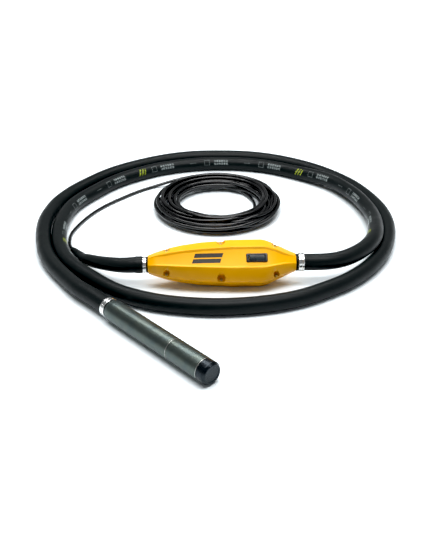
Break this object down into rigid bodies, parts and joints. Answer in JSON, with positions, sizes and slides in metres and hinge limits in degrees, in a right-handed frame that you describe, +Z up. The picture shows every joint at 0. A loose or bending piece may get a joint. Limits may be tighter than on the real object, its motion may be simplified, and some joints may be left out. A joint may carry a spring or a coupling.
{
  "type": "concrete vibrator",
  "caption": "Internal concrete vibrator: steel poker head on a long protective hose in two floor loops, faceted converter housing with rocker switch, coiled mains cable.",
  "frame": {"origin": "centre of the converter housing's flat underside, on the floor the tool lies on", "axes": "+X along the housing from its cable end towards its hose end, +Z up, +Y from the switch side towards the cable coil; the switch face leans 45 degrees towards -Y"},
  "size_m": [0.9109, 1.1334, 0.1016],
  "materials": {
    "housing_yellow": "satin moulded plastic",
    "black_rubber": "moulded rubber",
    "hose_rubber": "smooth satin rubber hose cover",
    "cable_rubber": "smooth rubber cable sheath",
    "switch_plastic": "fine-grained dark plastic",
    "board": "solder mask",
    "zinc_steel": "zinc plated",
    "clamp_steel": "bright stainless",
    "head_steel": "hardened, dark oxide",
    "tip_steel": "black finish over steel",
    "bearing_steel": "ground",
    "laminations": "stacked laminations",
    "copper": "lacquered copper windings",
    "cast_weight": "as cast",
    "brass": "bright"
  },
  "bodies": {
    "vibrator": {"housing_upper_shell": "housing_yellow", "housing_lower_shell": "housing_yellow", "gasket_near": "black_rubber", "gasket_far": "black_rubber", "shell_screw_near_left": "zinc_steel", "shell_screw_near_middle": "zinc_steel", "shell_screw_near_right": "zinc_steel", "shell_screw_far_left": "zinc_steel", "shell_screw_far_middle": "zinc_steel", "shell_screw_far_right": "zinc_steel", "switch_bezel": "switch_plastic", "rocker_pin": "zinc_steel", "switch_body": "switch_plastic", "converter_board": "board", "power_module": "switch_plastic", "bus_capacitor_1": "switch_plastic", "bus_capacitor_2": "switch_plastic", "terminal_block": "switch_plastic", "hose_nipple": "zinc_steel", "seal_ring_right": "black_rubber", "hose_clamp_housing": "clamp_steel", "stub_nipple": "zinc_steel", "seal_ring_left": "black_rubber", "stub_collar": "clamp_steel", "stub_cuff": "black_rubber", "protective_hose": "hose_rubber", "motor_lead": "cable_rubber", "stub_hose": "hose_rubber", "cable_grommet": "black_rubber", "power_cable": "cable_rubber", "cable_coil": "cable_rubber", "cable_tail": "cable_rubber", "plug_body": "black_rubber", "plug_relief": "black_rubber", "plug_blade_1": "brass", "plug_blade_2": "brass", "plug_earth_pin": "brass", "hose_clamp_head": "clamp_steel", "head_connector": "head_steel", "motor_casing": "head_steel", "joint_ring_rear": "clamp_steel", "weight_casing": "head_steel", "joint_ring_front": "clamp_steel", "tip_cap": "tip_steel", "rear_bearing_outer_race": "bearing_steel", "middle_bearing_outer_race": "bearing_steel", "front_bearing_outer_race": "bearing_steel", "stator": "laminations", "winding_rear": "copper", "winding_front": "copper"},
    "rotor": {"rotor_shaft": "zinc_steel", "rotor_core": "laminations", "eccentric_weight": "cast_weight", "rear_bearing_inner_race": "bearing_steel", "middle_bearing_inner_race": "bearing_steel", "front_bearing_inner_race": "bearing_steel"},
    "rear_balls": {"rear_bearing_ball_ring": "bearing_steel"},
    "middle_balls": {"middle_bearing_ball_ring": "bearing_steel"},
    "front_balls": {"front_bearing_ball_ring": "bearing_steel"},
    "rocker_body": {"rocker": "switch_plastic"}
  },
  "joints": [
    {"name": "rotor_spin", "type": "hinge", "parent": "vibrator", "child": "rotor", "pos_m": [-0.2013, -0.24222, 0.024], "axis": [0.6613, -0.7501, 0], "continuous": true},
    {"name": "rear_balls_spin", "type": "hinge", "parent": "vibrator", "child": "rear_balls", "pos_m": [-0.26281, -0.17246, 0.024], "axis": [0.6613, -0.7501, 0], "continuous": true},
    {"name": "middle_balls_spin", "type": "hinge", "parent": "vibrator", "child": "middle_balls", "pos_m": [-0.16162, -0.28722, 0.024], "axis": [0.6613, -0.7501, 0], "continuous": true},
    {"name": "front_balls_spin", "type": "hinge", "parent": "vibrator", "child": "front_balls", "pos_m": [-0.11599, -0.33898, 0.024], "axis": [0.6613, -0.7501, 0], "continuous": true},
    {"name": "switch_rocker", "type": "hinge", "parent": "vibrator", "child": "rocker_body", "pos_m": [0.0215, -0.03178, 0.0811], "axis": [0, -0.7071, -0.7071], "range_deg": [0, 12]}
  ],
  "couplings": [
    {"joint": "rear_balls_spin", "follows": "rotor_spin", "ratio": 0.404},
    {"joint": "middle_balls_spin", "follows": "rotor_spin", "ratio": 0.4437},
    {"joint": "front_balls_spin", "follows": "rotor_spin", "ratio": 0.4218}
  ]
}
